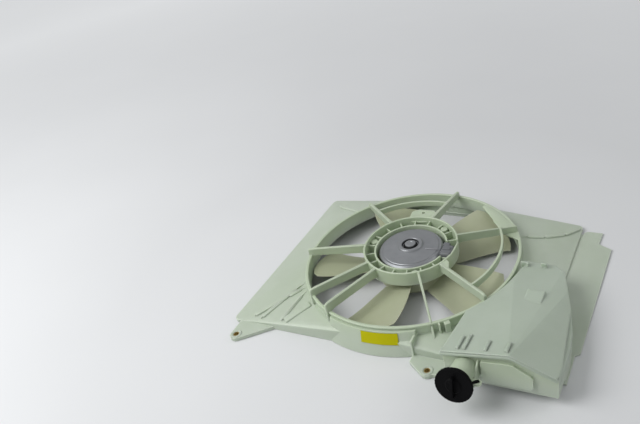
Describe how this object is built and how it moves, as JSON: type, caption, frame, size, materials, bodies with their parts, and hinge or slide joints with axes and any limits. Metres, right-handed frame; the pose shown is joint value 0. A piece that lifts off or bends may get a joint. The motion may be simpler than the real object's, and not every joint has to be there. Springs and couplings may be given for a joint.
{
  "type": "radiator cooling fan",
  "caption": "Electric cooling fan in a moulded rectangular shroud with a motor stay, side deflector and built-in coolant tank with filler cap.",
  "frame": {"origin": "on the fan's axis, in the plane of the shroud's radiator-side rim", "axes": "+Z along the fan axis to the motor side, -Y to the installed top edge with the filler cap, +X to the side with the coolant tank"},
  "size_m": [0.526, 0.4563, 0.079],
  "materials": {
    "natural_plastic": "satin, slightly translucent",
    "tank_plastic": "satin, slightly translucent",
    "fan_plastic": "satin, slightly translucent",
    "black_plastic": "semi-gloss",
    "grey_plastic": "matte",
    "card_plastic": "matte",
    "seal_rubber": "matte",
    "motor_steel": "satin",
    "bright_steel": "brushed",
    "core_steel": "matte",
    "ferrite": "matte",
    "copper": "satin",
    "plated_brass": "satin",
    "carbon": "matte"
  },
  "bodies": {
    "shroud_body": {"shroud": "natural_plastic", "tank_cover": "tank_plastic", "cap_tether": "black_plastic", "mount_sleeves": "plated_brass", "motor_can": "motor_steel", "motor_front_plate": "motor_steel", "motor_magnets": "ferrite", "motor_screws": "bright_steel", "front_bearing": "bright_steel", "rear_bearing": "bright_steel", "brush_card": "card_plastic", "carbon_brushes": "carbon", "brush_springs": "bright_steel", "connector_shell": "grey_plastic", "connector_terminals": "plated_brass"},
    "rotor": {"fan": "fan_plastic", "fan_insert": "bright_steel", "fan_washer": "bright_steel", "fan_nut": "plated_brass", "motor_shaft": "bright_steel", "armature_core": "core_steel", "armature_winding": "copper", "commutator": "copper"},
    "cap": {"filler_cap": "black_plastic", "cap_seal": "seal_rubber"}
  },
  "joints": [
    {"name": "fan_spin", "type": "hinge", "parent": "shroud_body", "child": "rotor", "pos_m": [0, 0, 0], "axis": [0, 0, 1], "continuous": true},
    {"name": "cap_lift", "type": "slide", "parent": "shroud_body", "child": "cap", "axis": [0, -0.9703, 0.2419], "range_m": [0, 0.03]}
  ]
}
